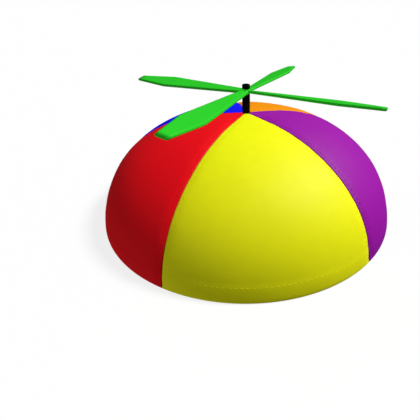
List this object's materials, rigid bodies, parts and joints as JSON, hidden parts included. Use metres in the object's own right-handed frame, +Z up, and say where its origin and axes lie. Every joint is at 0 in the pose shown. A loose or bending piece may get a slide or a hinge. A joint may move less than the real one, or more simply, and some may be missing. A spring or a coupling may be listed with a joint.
{
  "type": "propeller beanie",
  "caption": "Round brimless cloth cap sewn from coloured gores, with a free-turning propeller on a short post at the crown.",
  "frame": {"origin": "centre of the rim, on the surface that the cap stands on", "axes": "+Z up along the post, -Y towards the front, at the yellow gore"},
  "size_m": [0.186, 0.1859, 0.0769],
  "materials": {
    "cloth_yellow": "brushed cotton twill, matt with a soft sheen",
    "cloth_purple": "brushed cotton twill, matt with a soft sheen",
    "cloth_orange": "brushed cotton twill, matt with a soft sheen",
    "cloth_blue": "brushed cotton twill, matt with a soft sheen",
    "cloth_red": "brushed cotton twill, matt with a soft sheen",
    "black_plastic": "moulded, satin",
    "green_plastic": "moulded, semi-gloss"
  },
  "bodies": {
    "crown": {"panel_yellow": "cloth_yellow", "panel_purple": "cloth_purple", "panel_orange": "cloth_orange", "panel_blue": "cloth_blue", "panel_red": "cloth_red", "post": "black_plastic", "pin": "black_plastic"},
    "rotor": {"propeller": "green_plastic"}
  },
  "joints": [
    {"name": "propeller_spin", "type": "hinge", "parent": "crown", "child": "rotor", "pos_m": [0, 0, 0.073], "axis": [0, 0, 1], "continuous": true}
  ]
}
